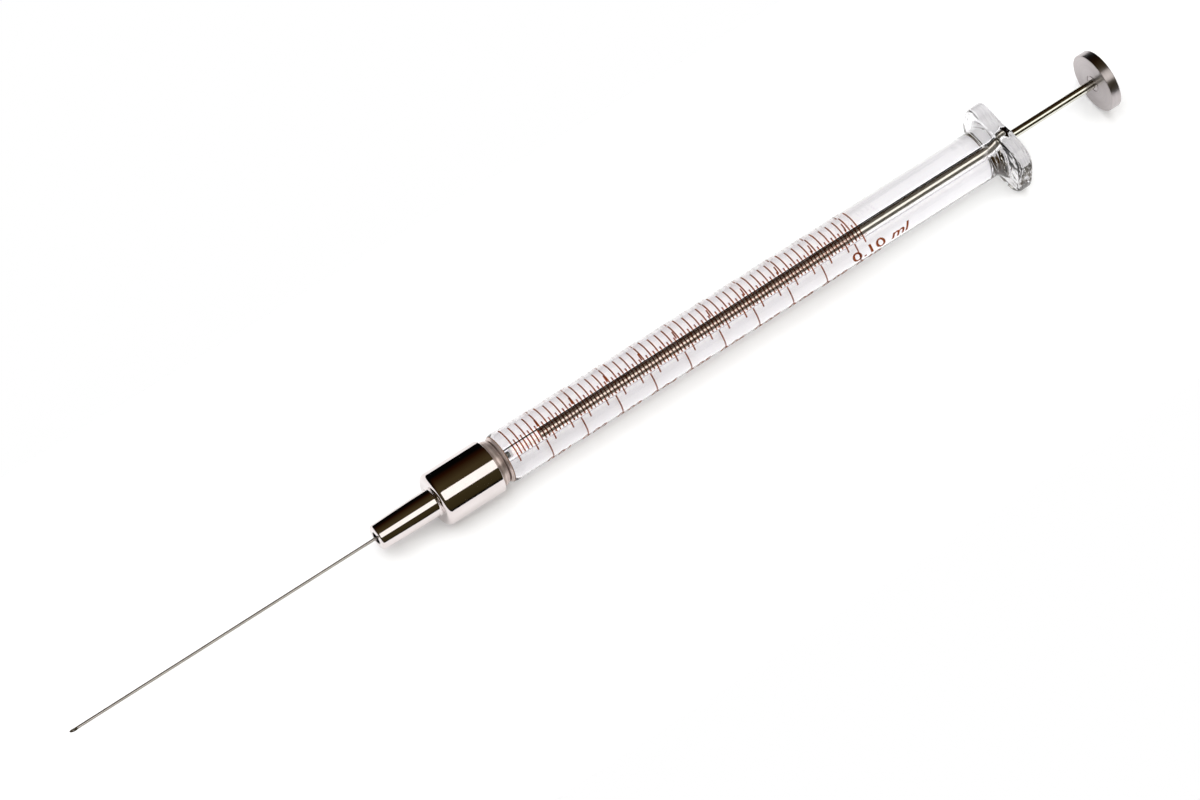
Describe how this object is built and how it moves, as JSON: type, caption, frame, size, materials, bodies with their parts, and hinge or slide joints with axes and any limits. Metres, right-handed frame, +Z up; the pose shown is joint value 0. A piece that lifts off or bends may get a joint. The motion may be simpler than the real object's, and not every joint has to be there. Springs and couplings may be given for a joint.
{
  "type": "microsyringe",
  "caption": "Gas-tight glass microsyringe with a graduated barrel, steel plunger, two-lobed finger flange and a removable needle held by a hub nut.",
  "frame": {"origin": "centre of the footprint: halfway along the syringe, under its axis, on the surface that the finger flange lies on", "axes": "+X along the syringe from the needle's point to the plunger button, +Y along the finger flange's two lobes, +Z up"},
  "size_m": [0.1782, 0.0138, 0.0095],
  "materials": {
    "clear_glass": "clear borosilicate, fire-polished flange",
    "satin_steel": "satin, with fine turned lines",
    "cement": "thin brown cement line",
    "polished_nickel": "bright nickel plate, mirror polished",
    "needle_steel": "drawn stainless tube",
    "white_plastic": "unfilled white fluoropolymer",
    "plunger_steel": "ground and polished stainless rod",
    "button_steel": "faced with a satin lay, turned rim"
  },
  "bodies": {
    "barrel_body": {"barrel": "clear_glass", "terminal": "satin_steel", "cement_ring": "cement"},
    "plunger_body": {"plunger_rod": "plunger_steel", "plunger_tip": "white_plastic", "plunger_button": "button_steel"},
    "needle_body": {"needle": "needle_steel", "needle_ferrule": "satin_steel", "needle_seal": "white_plastic"},
    "nut_body": {"hub_nut": "polished_nickel"}
  },
  "joints": [
    {"name": "plunger_slide", "type": "slide", "parent": "barrel_body", "child": "plunger_body", "axis": [1, 0, 0], "range_m": [0, 0.06]},
    {"name": "needle_draw", "type": "slide", "parent": "barrel_body", "child": "needle_body", "axis": [-1, 0, 0], "range_m": [0, 0.0045]},
    {"name": "nut_turn", "type": "hinge", "parent": "needle_body", "child": "nut_body", "pos_m": [-0.02416, 0, 0.00489], "axis": [-1, 0, 0], "range_deg": [0, 2160]}
  ],
  "couplings": [
    {"joint": "nut_turn", "follows": "needle_draw", "rad_per_m": 8377.6}
  ]
}
